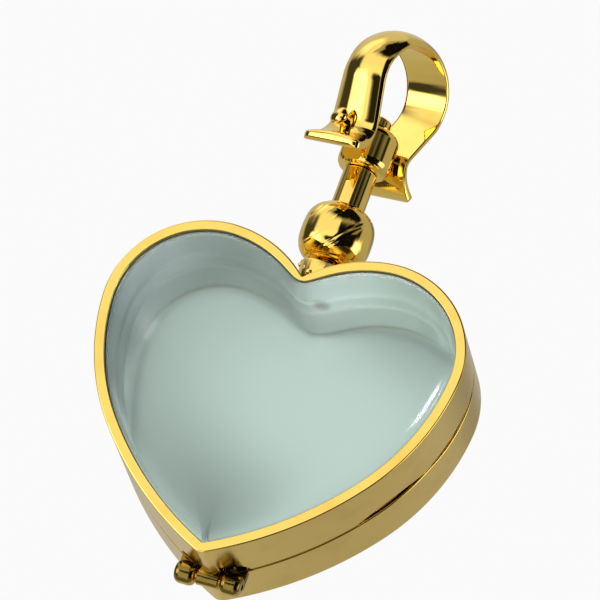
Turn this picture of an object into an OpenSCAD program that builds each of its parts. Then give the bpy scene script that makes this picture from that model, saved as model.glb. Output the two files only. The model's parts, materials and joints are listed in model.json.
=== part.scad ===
// Heart locket with two domed glass faces. The halves hinge at the bottom tip and are
// closed by a screw ball, whose post turns in a barrel that swings between a bail's legs.
// Millimetres. +Z is up, +X is to the right seen from the front, the front faces -Y.
// The origin is the crown of the bail's inside, where the locket hangs.

/* [Heart] */
// Width of the heart across its lobes
heart_w = 28; // [26:0.5:30]
// Depth of the front half, from its rim to the parting plane
front_d = 4.8; // [4.6:0.1:5.2]
// Depth of the back half
back_d = 4.4; // [4.2:0.1:5.2]
// Thickness of the frames' side wall, which is also the width of the flat rim
wall_t = 0.78; // [0.7:0.02:0.9]
// Gap between the two halves
parting_gap = 0.2; // [0.1:0.02:0.24]
// Rounding of the heart's bottom tip
tip_r = 1.0; // [0.6:0.1:1.4]
// Depth of the thumb relief in the front half's parting edge
thumb_depth = 0.6; // [0.4:0.05:0.7]
// Half length of the thumb relief
thumb_half = 3.1; // [2.6:0.1:3.4]
// Depth of the shallow relief in the back half's parting edge
rise_depth = 0.3; // [0.1:0.05:0.4]
// Half length of the shallow relief
rise_half = 3.4; // [2.6:0.1:3.8]

/* [Glass] */
// How far the glass edge lies below the rim
glass_recess = 0.45; // [0.3:0.05:0.6]
// Height of the glass dome above its own edge
glass_crown = 1.3; // [0.8:0.1:1.6]
// Thickness of the glass wall
glass_t = 0.9; // [0.8:0.05:1]
// Gap between glass and gold
glass_gap = 0.05; // [0.03:0.01:0.08]

/* [Hinge] */
// Radius of the two outer barrels, on the back half
outer_barrel_r = 0.88; // [0.8:0.02:0.95]
// Radius of the centre barrel, on the front half
centre_barrel_r = 0.65; // [0.55:0.01:0.7]
// Half length of the centre barrel
centre_barrel_half = 0.85; // [0.8:0.05:1]
// Gap between the centre barrel and each outer one
barrel_gap = 0.1; // [0.06:0.02:0.14]
// Half length of the whole hinge
hinge_half = 2.6; // [2.4:0.1:2.8]
// Radius of the round relief cut in the front wall about the outer barrels
hinge_relief_r = 1.5; // [1.3:0.05:1.6]
// Radius of the hinge pin
hinge_pin_r = 0.3; // [0.25:0.01:0.34]

/* [Ball and post] */
// Greatest radius of the screw ball
ball_r = 2.74; // [2.6:0.02:2.86]
// Half height of the screw ball
ball_half_h = 2.51; // [2.41:0.01:2.55]
// Height of the ball's middle above the heart's tip
ball_z = 28.66; // [28.6:0.01:28.7]
// Squareness of the ball's profile, 2 is a true ellipse
ball_power = 2.8; // [2:0.1:3.4]
// Radius of the stud that the ball screws down on
stud_r = 0.9; // [0.8:0.05:1]
// Radius of the post above the ball
post_r = 1.3; // [1.2:0.05:1.4]
// Radius of the post where it turns in the barrel
journal_r = 0.8; // [0.7:0.02:0.82]
// Radius of the riveted cap on top of the post
cap_r = 0.97; // [0.94:0.01:1.1]
// Height of the cap
cap_h = 1.0; // [0.8:0.1:1.1]

/* [Swivel barrel] */
// Radius of the barrel
barrel_r = 2.03; // [1.95:0.01:2.1]
// Height of the barrel's underside above the heart's tip
barrel_low = 34.3; // [34.2:0.05:34.4]
// Height of the barrel's top above the heart's tip
barrel_high = 37.8; // [37.6:0.05:37.9]
// Half distance between the two flats that face the bail
barrel_flat = 1.74; // [1.66:0.02:1.76]

/* [Bail] */
// Height of the bail's pins above the heart's tip
pin_above_tip = 36.46; // [36.4:0.01:36.6]
// Half width of the arch, inside
arch_half_w = 3.9; // [3.88:0.02:4.1]
// Rise of the arch above its widest level, inside
arch_rise = 3.34; // [3.2:0.02:3.8]
// Radius of the shoulders below the widest level
shoulder_r = 3.18; // [3:0.02:3.2]
// How far the legs turn in below the shoulders, in degrees
leg_angle = 23; // [21:0.1:23.2]
// Straight stretch of each leg
leg_straight = 2.9; // [2.7:0.02:2.92]
// Radius of the waist where the legs turn out again
waist_r = 2.36; // [2.2:0.02:2.6]
// How far the lips turn out below the waist, in degrees
lip_angle = 70; // [60:0.5:76]
// Thickness of the bail's strip at the middle of its domed outer face
strip_t = 1; // [0.9:0.02:1.1]
// Height of the dome on the strip's outer face
strip_dome = 0.66; // [0.4:0.02:0.7]
// Strip half width at the crown
strip_crown = 2; // [1.8:0.02:2.1]
// Strip half width at the shoulders
strip_shoulder = 1.94; // [1.8:0.02:2.1]
// Strip half width at the waist
strip_waist = 2.22; // [2:0.02:2.3]
// Strip half width at the lips
strip_lip = 2.64; // [2.4:0.02:2.7]
// How far the strip sits towards the front, off the middle of the barrel
bail_forward = 0.52; // [0:0.02:0.52]
// How far the strip sits to the right, off the rivets' line
bail_aside = 0.2; // [0:0.02:0.3]
// Radius of the rivets that the barrel swings on
rivet_r = 0.5; // [0.4:0.01:0.52]
// Length of each rivet's shank that stands out of the bail
rivet_stand = 0.4; // [0.3:0.05:0.7]
// Radius of the rivets' heads
rivet_head_r = 0.72; // [0.6:0.01:0.76]
// Length of the rivets' heads
rivet_head_h = 0.95; // [0.7:0.05:1]
// Turn of the bail about the locket's upright axis, in degrees
bail_turn = 22.6; // [0:0.1:45]
// Lean of the bail about its pins, in degrees
bail_lean = 7.5; // [0:0.1:15]

/* [Hidden] */
$fn = 64;
gold = "goldenrod";
clear_glass = [0.78, 0.86, 0.83, 0.5];
fit_gap = 0.06;         // running clearance of a shaft in its bore
seat_gap = 0.02;        // clearance between pieces that stay together
bite = 0.05;            // how far a soldered shape runs into its neighbour
inner_tip_r = 0.3;      // least rounding inside the tip
reach = 20;             // longer than anything that it cuts
tongue_room = 0.15;     // clearance round the centre barrel as the front opens

// The right half of the outline is a chain of tangent arcs from the tip up and over the
// lobe to the notch. Each row: radius on a heart 28 wide, direction where the arc ends.
RADIUS = 0;
END_DIRECTION = 1;
outline_scale = heart_w / 28;
tip_direction = 25;         // of the flank where it leaves the tip
arcs = [
    [28.24, 51.6],      // flank above the tip
    [17.71, 85.8],      // side
    [7.45, 183.6],      // lobe
    [9.37, 0],          // slope into the notch, which ends on the centre line
];
side_arc = 1;
notch_arc = 3;
thumb_direction = 56.5;     // of the side arc where each relief is centred
rise_direction = 80;

function start_direction(i) = i == 0 ? tip_direction : arcs[i - 1][END_DIRECTION];
function arc_radius(i) = arcs[i][RADIUS] * outline_scale;
function normal_at(direction) = [sin(direction), -cos(direction)];
function arc_start(i) = i == 0 ? [0, 0] : arc_centre(i - 1)
    + arc_radius(i - 1) * normal_at(start_direction(i));
function arc_centre(i) = arc_start(i) - arc_radius(i) * normal_at(start_direction(i));

// The tip is rounded by a small arc on the centre line that touches the flank's arc
function tip_round(inset) = max(tip_r - inset, inner_tip_r);
function flank_room(inset) = arc_radius(0) - inset - tip_round(inset);
function tip_centre(inset) = let (middle = arc_centre(0))
    [0, middle[1] - sqrt(pow(flank_room(inset), 2) - pow(middle[0], 2))];

// Directions at which an arc of an inset outline starts and ends
function first_direction(i, inset) = i > 0 ? start_direction(i)
    : asin(-arc_centre(0)[0] / flank_room(inset));
function last_direction(i, inset) = i < notch_arc ? arcs[i][END_DIRECTION]
    : 180 + asin(arc_centre(notch_arc)[0] / (arc_radius(notch_arc) - inset));

// Points of an inset outline, from the tip up its right half and down its left half
TIP_STEPS = 3;
STEPS = [6, 6, 16, 6];
function along_arc(centre, radius, from, to, steps) =
    [for (k = [0 : steps - 1]) centre + radius * normal_at(from + (to - from) * k / steps)];
function arc_end(i, inset) =
    arc_centre(i) + (arc_radius(i) - inset) * normal_at(last_direction(i, inset));
function half_outline(inset) = concat(
    along_arc(tip_centre(inset), tip_round(inset), 0, first_direction(0, inset), TIP_STEPS),
    [for (i = [0 : notch_arc]) each along_arc(arc_centre(i), arc_radius(i) - inset,
        first_direction(i, inset), last_direction(i, inset), STEPS[i])],
    [arc_end(notch_arc, inset)]);
function outline(inset) = let (half = half_outline(inset))
    concat(half, [for (k = [len(half) - 2 : -1 : 1]) [-half[k][0], half[k][1]]]);

// Filled outline, moved in from the outer wall by an inset
module heart_shape(inset = 0) {
    polygon(outline(inset));
}

// Heart-shaped block and ring between two depths in front of the parting plane
module heart_block(from, to, inset) {
    rotate([90, 0, 0]) translate([0, 0, from]) linear_extrude(to - from) heart_shape(inset);
}
module heart_ring(from, to, outer_inset, inner_inset) {
    rotate([90, 0, 0]) translate([0, 0, from]) linear_extrude(to - from) difference() {
        heart_shape(outer_inset);
        heart_shape(inner_inset);
    }
}

// Half width of the bail's inside at its waist, and the height of its widest level
bail_waist = arch_half_w - shoulder_r + (shoulder_r + waist_r) * cos(leg_angle)
    - leg_straight * sin(leg_angle) - waist_r;
arch_z = (shoulder_r + waist_r) * sin(leg_angle) + leg_straight * cos(leg_angle);
crown_z = arch_z + arch_rise;

// Places of the bail's rivets and of the heart's tip, seen from the origin. The crown is
// bail_aside and crown_z from the rivets' middle in the leaning plane, and bail_forward of it.
crown_right = bail_aside * cos(bail_lean) + crown_z * sin(bail_lean);
crown_up = crown_z * cos(bail_lean) - bail_aside * sin(bail_lean);
pin_place = -[crown_right * cos(bail_turn) - bail_forward * sin(bail_turn),
              -crown_right * sin(bail_turn) - bail_forward * cos(bail_turn), crown_up];
tip_place = pin_place - [0, 0, pin_above_tip];

// Collar and stud under the ball, heights above the tip
collar_low = 23;
collar_high = 25.9;
collar_low_r = 1.6;
collar_high_r = 1.9;
stud_top = 29.2;
stud_bore_top = 29.4;
post_low = 29.85;
journal_low = barrel_low - fit_gap;
cap_low = barrel_high + fit_gap;

// Inner lip and ledges that carry the glass, depths from the parting plane
lip_inset = wall_t + 0.12;
ledge_inset = wall_t + 0.72;
lip_reach = 0.5;
ledge_near = 0.75;
ledge_far = 1.2;

half_gap = parting_gap / 2;
socket_start = 1.15;    // how near the barrel's axis its blind holes start
front_outside = bail_waist + strip_t + bail_forward;
back_outside = bail_waist + strip_t - bail_forward;

module in_locket() { translate(tip_place) children(); }
module in_turned() { translate(pin_place) rotate([0, 0, -bail_turn]) children(); }
module in_bail() { in_turned() rotate([0, bail_lean, 0]) children(); }
module both_sides() { for (side = [0, 1]) mirror([side, 0, 0]) children(); }
module along_x(from, to, r) {
    translate([from, 0, 0]) rotate([0, 90, 0])
        cylinder(r = r, h = to - from);
}
module along_y(from, to, r) {
    translate([0, from, 0]) rotate([-90, 0, 0])
        cylinder(r = r, h = to - from);
}

// Front half of the collar under the ball, kept outside the frame's inner wall
module half_collar() {
    difference() {
        translate([0, 0, collar_low])
            cylinder(r1 = collar_low_r, r2 = collar_high_r, h = collar_high - collar_low);
        translate([-reach, -half_gap, 0]) cube([2 * reach, reach, 2 * reach]);
        heart_block(-reach, reach, wall_t);
    }
}

// Round-bottomed relief across the side wall's parting edge, where the side arc has this
// direction, cut for a front half
module edge_relief(direction, depth, half_length) {
    place = arc_centre(side_arc) + arc_radius(side_arc) * normal_at(direction);
    r = (half_length * half_length + depth * depth) / (2 * depth);
    translate([place[0], r - depth - half_gap, place[1]]) rotate([0, 90 - direction, 0])
        along_x(-2 * wall_t, wall_t, r, $fn = 180);
}

// Side wall, rim and inner ledge of one half, modelled as a front half
module frame_wall(depth) {
    heart_ring(half_gap, depth, 0, wall_t);
    heart_ring(ledge_near, ledge_far, wall_t - bite, ledge_inset);
}

module front_frame() {
    color(gold) in_locket() {
        difference() {
            union() {
                frame_wall(front_d);
                half_collar();
            }
            both_sides() along_x(centre_barrel_half, 2 * hinge_half, hinge_relief_r);
            along_x(-reach, reach, centre_barrel_r - bite);
            translate([0, 0, collar_low - bite]) cylinder(r = stud_r + fit_gap, h = reach);
            edge_relief(thumb_direction, thumb_depth, thumb_half);
        }
        difference() {
            along_x(-centre_barrel_half, centre_barrel_half, centre_barrel_r);
            along_x(-reach, reach, hinge_pin_r + fit_gap);
        }
    }
}

module back_frame() {
    barrel_start = centre_barrel_half + barrel_gap;
    barrel_length = hinge_half - barrel_start;
    web_t = 0.7 * outer_barrel_r;
    color(gold) in_locket() difference() {
        union() {
            difference() {
                mirror([0, 1, 0]) {
                    frame_wall(back_d);
                    half_collar();
                }
                mirror([0, 1, 0]) edge_relief(rise_direction, rise_depth, rise_half);
                along_x(-barrel_start, barrel_start, centre_barrel_r + tongue_room);
            }
            heart_ring(bite - ledge_far, lip_reach, lip_inset, ledge_inset - bite);
            translate([0, 0, collar_low]) cylinder(r = stud_r, h = stud_top - collar_low);
            both_sides() along_x(barrel_start, hinge_half, outer_barrel_r);
            both_sides() difference() {
                translate([barrel_start, half_gap, 0])
                    cube([barrel_length, web_t, hinge_half]);
                heart_block(-reach, reach, wall_t - bite);
            }
        }
        along_x(-reach, reach, hinge_pin_r + seat_gap);
    }
}

module hinge_pin() {
    color(gold) in_locket() along_x(-hinge_half, hinge_half, hinge_pin_r);
}

// One glass face: a heart-shaped cup with a domed front and a side wall, whose foot rests on
// the ledge and whose skirt lines the ledge. The rings run from the top of the dome out and
// down the wall, then back up inside.
DOME_STEPS = 8;
dome_middle = [0, 16 * outline_scale];
inner_shoulder = 0.4;   // share of the glass thickness that is left where the inside dome starts
module glass_cup(depth) {
    edge = depth - glass_recess;
    outer = outline(wall_t + glass_gap);
    inner = outline(wall_t + glass_gap + glass_t);
    inner_edge = edge - inner_shoulder * glass_t;
    inner_crown = edge + glass_crown - glass_t - inner_edge;
    foot = ledge_far + glass_gap;
    skirt = outline(ledge_inset + fit_gap);
    skirt_end = half_gap + glass_gap;
    function ring(loop, scale, y) =
        [for (p = loop) let (q = dome_middle + scale * (p - dome_middle)) [q[0], -y, q[1]]];
    function dome(loop, y, crown, angle) = ring(loop, sqrt(cos(angle)), y + crown * sin(angle));
    angles = [for (k = [1 : DOME_STEPS]) 90 * (1 - k / DOME_STEPS)];
    rings = concat(
        [for (a = angles) dome(outer, edge, glass_crown, a)],
        [ring(outer, 1, foot), ring(skirt, 1, foot), ring(skirt, 1, skirt_end),
         ring(inner, 1, skirt_end)],
        [for (k = [DOME_STEPS - 1 : -1 : 0]) dome(inner, inner_edge, inner_crown, angles[k])]);
    n = len(outer);
    top = [dome_middle[0], -(edge + glass_crown), dome_middle[1]];
    under = [dome_middle[0], -(inner_edge + inner_crown), dome_middle[1]];
    last = 1 + n * (len(rings) - 1);
    polyhedron(
        points = concat([top], [for (r = rings, p = r) p], [under]),
        faces = concat(
            [for (k = [0 : n - 1]) [0, 1 + (k + 1) % n, 1 + k]],
            [for (r = [0 : len(rings) - 2], k = [0 : n - 1])
                let (a = 1 + r * n, b = a + n, next = (k + 1) % n)
                each [[a + k, a + next, b + next], [a + k, b + next, b + k]]],
            [for (k = [0 : n - 1]) [last + n, last + k, last + (k + 1) % n]]));
}

module front_glass() {
    color(clear_glass) in_locket() glass_cup(front_d);
}
module back_glass() {
    color(clear_glass) in_locket() mirror([0, 1, 0]) glass_cup(back_d);
}

// Ball with a rounded-square profile, bored for the stud below and for the post above
module screw_ball() {
    profile = [for (a = [-90 : 7.5 : 90])
        [ball_r * pow(abs(cos(a)), 2 / ball_power),
         ball_half_h * sign(a) * pow(abs(sin(a)), 2 / ball_power)]];
    color(gold) in_locket() difference() {
        translate([0, 0, ball_z]) rotate_extrude() polygon(profile);
        translate([0, 0, stud_bore_top - reach]) cylinder(r = stud_r + fit_gap, h = reach);
        translate([0, 0, post_low - seat_gap]) cylinder(r = post_r + seat_gap, h = reach);
    }
}

// Post, its journal inside the barrel and the cap riveted over the barrel
module post() {
    edge = 0.12;        // chamfer
    cap_high = cap_low + cap_h;
    color(gold) in_locket() rotate_extrude() polygon([
        [0, post_low], [post_r, post_low], [post_r, journal_low - edge], [post_r - edge, journal_low],
        [journal_r, journal_low], [journal_r, cap_low], [cap_r, cap_low],
        [cap_r, cap_high - edge], [cap_r - edge, cap_high], [0, cap_high]]);
}

// Barrel, bored upright for the post and with a blind hole for each rivet
module swivel_barrel() {
    low = barrel_low - pin_above_tip;
    high = barrel_high - pin_above_tip;
    low_edge = 0.35;
    high_edge = 0.45;
    color(gold) in_turned() difference() {
        rotate_extrude() polygon([
            [journal_r + fit_gap, low], [barrel_r - low_edge, low],
            [barrel_r, low + low_edge], [barrel_r, high - high_edge / 2],
            [barrel_r - high_edge, high], [journal_r + fit_gap, high]]);
        for (side = [0, 1]) mirror([0, side, 0]) {
            translate([-reach, barrel_flat, -reach]) cube(2 * reach);
            along_y(socket_start, reach, rivet_r + fit_gap);
        }
    }
}

// Stations of one leg's inner line from the crown down to the lip. Each row: distance out
// from the middle, height, and the direction of the outward normal.
OUT = 0;
UP = 1;
NORMAL = 2;
leg_stations = concat(
    [for (a = [90 : -7.5 : 1]) [arch_half_w * cos(a), arch_z + arch_rise * sin(a),
        atan2(sin(a) / arch_rise, cos(a) / arch_half_w)]],
    [for (k = [0 : 5]) let (a = k / 5 * leg_angle)
        [arch_half_w - shoulder_r + shoulder_r * cos(a), arch_z - shoulder_r * sin(a), -a]],
    [for (k = [0 : 12]) let (a = leg_angle - k / 12 * (leg_angle + lip_angle))
        [bail_waist + waist_r * (1 - cos(a)), waist_r * sin(a), -a]]);

// Half width of the strip at a height
strip_half_w = [[-waist_r * sin(lip_angle), strip_lip], [0, strip_waist], [arch_z, strip_shoulder],
                [crown_z, strip_crown]];

// Section of the strip for a half width. Each row: across, outward. The outer face is an arc.
SECTION_STEPS = 12;
strip_edge = 0.12;      // chamfer of the inner edges
function strip_section(half) = let (r = (half * half + strip_dome * strip_dome) / (2 * strip_dome),
        side = strip_t - strip_dome, edge = asin(half / r))
    concat([for (k = [0 : SECTION_STEPS]) let (a = edge * (2 * k / SECTION_STEPS - 1))
               [r * sin(a), side + strip_dome - r * (1 - cos(a))]],
           [[half, strip_edge], [half - strip_edge, 0], [strip_edge - half, 0],
            [-half, strip_edge]]);
function station_ring(side, row) =
    [for (p = strip_section(lookup(row[UP], strip_half_w)))
        [p[0], side * (row[OUT] + p[1] * cos(row[NORMAL])), row[UP] + p[1] * sin(row[NORMAL])]];

// Bent strip with a domed outer face, swept from the front lip over the crown to the back lip
module bent_strip() {
    count = len(leg_stations);
    rings = concat([for (k = [count - 1 : -1 : 0]) station_ring(-1, leg_stations[k])],
                   [for (k = [1 : count - 1]) station_ring(1, leg_stations[k])]);
    n = len(rings[0]);
    last = n * (len(rings) - 1);
    polyhedron(
        points = [for (r = rings, p = r) p],
        faces = concat(
            [[for (k = [0 : n - 1]) k], [for (k = [n - 1 : -1 : 0]) last + k]],
            [for (r = [0 : len(rings) - 2], k = [0 : n - 1])
                let (a = r * n, b = a + n, next = (k + 1) % n)
                each [[a + k, b + next, a + next], [a + k, b + k, b + next]]]));
}

module bail() {
    color(gold) in_bail() difference() {
        translate([bail_aside, -bail_forward, 0]) bent_strip();
        along_y(-reach, reach, rivet_r + seat_gap);
        along_y(back_outside, reach, rivet_head_r + fit_gap);
        along_y(-reach, -front_outside, rivet_head_r + fit_gap);
    }
}

// Rivet from the barrel's blind hole out through one leg, with a round head on its shank
module rivet(leg_outside) {
    head_start = leg_outside + rivet_stand;
    head_sphere = 0.86;
    along_y(socket_start + 2 * fit_gap, head_start + bite, rivet_r);
    intersection() {
        along_y(head_start, head_start + rivet_head_h, rivet_head_r);
        translate([0, head_start + rivet_head_h / 2, 0]) sphere(head_sphere);
    }
}
module rivet_front() {
    color(gold) in_bail() mirror([0, 1, 0]) rivet(front_outside);
}
module rivet_back() {
    color(gold) in_bail() rivet(back_outside);
}

bail();
rivet_front();
rivet_back();
swivel_barrel();
post();
screw_ball();
back_frame();
back_glass();
hinge_pin();
front_frame();
front_glass();
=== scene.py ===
import json
import math
import random

import bmesh
import bpy
import numpy as np
from mathutils import Matrix, Vector


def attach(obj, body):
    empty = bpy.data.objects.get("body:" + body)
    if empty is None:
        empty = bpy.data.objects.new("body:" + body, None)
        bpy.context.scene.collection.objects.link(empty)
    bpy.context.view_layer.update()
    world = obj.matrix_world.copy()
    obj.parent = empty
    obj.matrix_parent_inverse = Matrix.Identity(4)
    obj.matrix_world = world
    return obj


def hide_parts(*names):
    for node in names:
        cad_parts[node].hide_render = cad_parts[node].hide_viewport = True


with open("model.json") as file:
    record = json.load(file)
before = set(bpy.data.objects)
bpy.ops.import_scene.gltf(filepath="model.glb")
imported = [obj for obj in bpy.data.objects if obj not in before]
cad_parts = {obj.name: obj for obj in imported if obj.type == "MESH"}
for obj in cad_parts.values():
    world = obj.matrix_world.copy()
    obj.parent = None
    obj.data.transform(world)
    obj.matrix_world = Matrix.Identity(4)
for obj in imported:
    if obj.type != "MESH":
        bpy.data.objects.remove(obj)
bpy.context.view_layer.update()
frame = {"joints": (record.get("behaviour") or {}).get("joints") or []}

# Front frame
# A cast gold ring with a flat polished rim, a satin side wall and a ledge that carries the glass,
# swept along the heart's outline. Half a collar and the hinge's centre barrel are soldered to it.
MM = 0.001      # all pieces are laid out in millimetres from the hinge's middle at the tip
joints = {joint["name"]: joint for joint in frame["joints"]}
tip = Vector(joints["front_open"]["pos_m"])

WALL = 0.78
FRONT_DEPTH = 4.8
BACK_DEPTH = 4.4
HALF_GAP = 0.1
TIP_R = 1.0
INNER_TIP_R = 0.3
TIP_DIRECTION = 25
ARC_RADII = (28.24, 17.71, 7.45, 9.37)
ARC_ENDS = (51.6, 85.8, 183.6)
SIDE_ARC = 1
NOTCH_ARC = 3
TIP_STEPS = 14
ARC_STEPS = (150, 60, 130, 50)
FLANK_POWER = 1.6
NOTCH_SLOPE = 1.08


def normal_at(direction):
    """Outward normal of the outline where it runs in a direction."""
    return np.stack([np.sin(direction), -np.cos(direction)], -1)


arc_centres = []
place, heading = np.zeros(2), math.radians(TIP_DIRECTION)
for radius, end in zip(ARC_RADII, (*ARC_ENDS, 0)):
    arc_centres.append(place - radius * normal_at(heading))
    heading = math.radians(end)
    place = arc_centres[-1] + radius * normal_at(heading)


def outline(inset):
    """The heart's outline moved in by an inset: up the right half from the tip, down the left.
    The notch is sharp outside and is rounded more the further in it lies."""
    tip_round = max(TIP_R - inset, INNER_TIP_R)
    room = ARC_RADII[0] - inset - tip_round
    middle = arc_centres[0]
    tip_centre = np.array([0, middle[1] - math.sqrt(room ** 2 - middle[0] ** 2)])
    first = math.asin(-middle[0] / room)
    last = math.pi + math.asin(arc_centres[NOTCH_ARC][0] / (ARC_RADII[NOTCH_ARC] - inset))
    turns = [first, *np.radians(ARC_ENDS), last]
    round_tip = normal_at(np.linspace(0, first, TIP_STEPS, endpoint=False))
    parts = [tip_centre + tip_round * round_tip]
    for k, steps in enumerate(ARC_STEPS):
        share = np.linspace(0, 1, steps, endpoint=(k == NOTCH_ARC))
        if k == 0:
            share = share ** FLANK_POWER
        if k == NOTCH_ARC:
            share = 1 - (1 - share) ** FLANK_POWER
        along = normal_at(turns[k] + (turns[k + 1] - turns[k]) * share)
        parts.append(arc_centres[k] + (ARC_RADII[k] - inset) * along)
    x = parts[-1][:, 0]
    parts[-1][:, 1] += NOTCH_SLOPE * (np.hypot(x, inset) - x) * (1 - x / x[0]) ** 2
    right = np.concatenate(parts)
    return np.concatenate([right, right[-2:0:-1] * (-1, 1)])


def at_depth(line, y):
    """An outline as points in space, at one depth or at a depth for each point."""
    return np.stack([line[:, 0], np.broadcast_to(y, len(line)), line[:, 1]], 1)


POLISHED, SATIN, DULL, PAINTED_SHADE, BEATEN = range(5)


def grid_shell(points, close_rows=False, close_columns=True, caps=False, finish=POLISHED):
    """A shell from a grid of points, with one finish for all faces or one for each row."""
    rows, columns = points.shape[:2]
    row_count = rows if close_rows else rows - 1
    column_count = columns if close_columns else columns - 1
    r, c = np.meshgrid(np.arange(row_count), np.arange(column_count), indexing="ij")
    below, beside = (r + 1) % rows, (c + 1) % columns
    faces = np.stack([r * columns + c, r * columns + beside,
                      below * columns + beside, below * columns + c], -1)
    faces = faces.reshape(-1, 4).tolist()
    finishes = np.broadcast_to(finish, row_count).repeat(column_count).tolist()
    if caps:
        faces += [list(range(columns)), list(range((rows - 1) * columns, rows * columns))]
        finishes += [finishes[0], finishes[-1]]
    return points.reshape(-1, 3), faces, finishes


def build(name, shells, materials, sharp=32):
    """One mesh object from shells in millimetres from the tip."""
    points, faces, finishes, count = [], [], [], 0
    for shell_points, shell_faces, shell_finishes in shells:
        points.append(shell_points)
        faces += [[k + count for k in face] for face in shell_faces]
        finishes += shell_finishes
        count += len(shell_points)
    mesh = bpy.data.meshes.new(name)
    mesh.from_pydata((np.concatenate(points) * MM + np.array(tip)).tolist(), [], faces)
    mesh.polygons.foreach_set("material_index", finishes)
    work = bmesh.new()
    work.from_mesh(mesh)
    bmesh.ops.recalc_face_normals(work, faces=work.faces)
    work.to_mesh(mesh)
    work.free()
    mesh.shade_smooth()
    mesh.set_sharp_from_angle(angle=math.radians(sharp))
    for material in materials:
        mesh.materials.append(material)
    piece = bpy.data.objects.new(name, mesh)
    bpy.context.scene.collection.objects.link(piece)
    return piece


CORNER_STEPS = 5
GUARD = 0.02    # distance from a rounding to the row that keeps the flat beside it flat


def rounded_corner(inset, from_edge, depth, step_in, step_depth, r, first, last):
    """Profile rows round a corner, with a guard row on each side."""
    rows = []
    for a in np.radians(np.linspace(first, last, CORNER_STEPS)):
        rows.append((inset + step_in * r * (1 - math.cos(a)), from_edge,
                     depth + step_depth * r * (1 - math.sin(a))))
    on_wall = (inset, from_edge, depth + step_depth * (r + GUARD))
    on_face = (inset + step_in * (r + GUARD), from_edge, depth)
    if first < last:
        return [on_wall, *rows, on_face]
    return [on_face, *rows, on_wall]


RIM_ROUND = 0.12
RIM_INNER_ROUND = 0.05
EDGE_ROUND = 0.13
LEDGE_INSET = 1.5
LEDGE_NEAR = 0.75
LEDGE_FAR = 1.2


def ring(depth, low_edge, side):
    """The swept ring of one half. side is -1 for the front half and 1 for the back."""
    outer_low = rounded_corner(0, True, 0, 1, 1, EDGE_ROUND, 90, 0)
    outer_top = rounded_corner(0, False, depth, 1, -1, RIM_ROUND, 0, 90)
    inner_top = rounded_corner(WALL, False, depth, -1, -1, RIM_INNER_ROUND, 90, 0)
    ledge = [(WALL, False, LEDGE_FAR), (LEDGE_INSET, False, LEDGE_FAR),
             (LEDGE_INSET, False, LEDGE_NEAR), (WALL, False, LEDGE_NEAR)]
    inner_low = rounded_corner(WALL, True, 0, -1, 1, EDGE_ROUND, 0, 90)
    rows = outer_low + outer_top + inner_top + ledge + inner_low
    finish = [POLISHED] * len(rows)
    finish[len(outer_low) - 1] = SATIN
    # The inner wall and the ledge behind the glass take the dark gold: painted shade in the recess.
    dark_from = len(outer_low) + len(outer_top) + len(inner_top) - 1
    finish[dark_from:dark_from + len(ledge) + 1] = [PAINTED_SHADE] * (len(ledge) + 1)
    loops = []
    for inset, from_edge, y in rows:
        line = outline(inset)
        depth_here = y + low_edge(line) if from_edge else y
        loops.append(at_depth(line, side * depth_here))
    return grid_shell(np.array(loops), close_rows=True, finish=finish)


def relief(line, direction, depth, half_length):
    """Depth of a round-bottomed relief across the right side wall, where it faces a direction."""
    facing = normal_at(math.radians(direction))
    middle = arc_centres[SIDE_ARC] + ARC_RADII[SIDE_ARC] * facing
    along = (line - middle) @ np.array([-facing[1], facing[0]])
    near = (line - middle) @ facing > -2 * WALL
    r = (half_length ** 2 + depth ** 2) / (2 * depth)
    drop = np.sqrt(np.maximum(r ** 2 - along ** 2, 0)) - (r - depth)
    return np.where(near, np.maximum(drop, 0), 0)


def round_cut(line, r):
    """Depth of a round cut about the hinge's axis."""
    return np.sqrt(np.maximum(r ** 2 - np.minimum(line[:, 1], r) ** 2, 0))


BITE = 0.1      # how far a soldered piece reaches into what it is soldered to
CENTRE_BARREL_R = 0.65
CENTRE_BARREL_HALF = 0.85
HINGE_RELIEF_R = 1.5
FRONT_RELIEF = (56.5, 0.6, 3.1)     # direction that it faces, depth and half length


def front_edge(line):
    """Depth at which the front half's wall ends, which is cut back round the outer barrels."""
    edge = HALF_GAP + relief(line, *FRONT_RELIEF)
    beside_tongue = np.abs(line[:, 0]) > CENTRE_BARREL_HALF
    edge = np.where(beside_tongue, np.maximum(edge, round_cut(line, HINGE_RELIEF_R)), edge)
    return np.where(beside_tongue, edge, np.maximum(edge, round_cut(line, CENTRE_BARREL_R - BITE)))


def turned(profile, steps=96, start=0.0, sweep=360.0, finish=POLISHED):
    """A shell turned about the upright axis from rows of radius and height."""
    whole = sweep >= 360
    turn = np.radians(start + np.linspace(0, sweep, steps, endpoint=not whole))
    profile = np.array(profile)
    r, z = profile[:, :1], profile[:, 1:]
    points = np.stack([r * np.cos(turn), r * np.sin(turn), z + 0 * turn], -1)
    return grid_shell(points, close_columns=whole, caps=whole, finish=finish)


def along_x(shell):
    """Lays an upright shell along X."""
    points, faces, finishes = shell
    return points[:, [2, 1, 0]], faces, finishes


POLE_R = 0.02   # radius of the small flat in the middle of a turned end


def rounded_rod(low, high, r, edge):
    """Profile of a rod with rounded ends."""
    turn = np.radians(np.linspace(0, 90, CORNER_STEPS))
    bottom = [(r - edge + edge * math.sin(a), low + edge * (1 - math.cos(a))) for a in turn]
    top = [(radius, high + low - z) for radius, z in reversed(bottom)]
    guards = [(r, low + edge + GUARD), (r, high - edge - GUARD)]
    return [(POLE_R, low), *bottom, *guards, *top, (POLE_R, high)]


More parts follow.
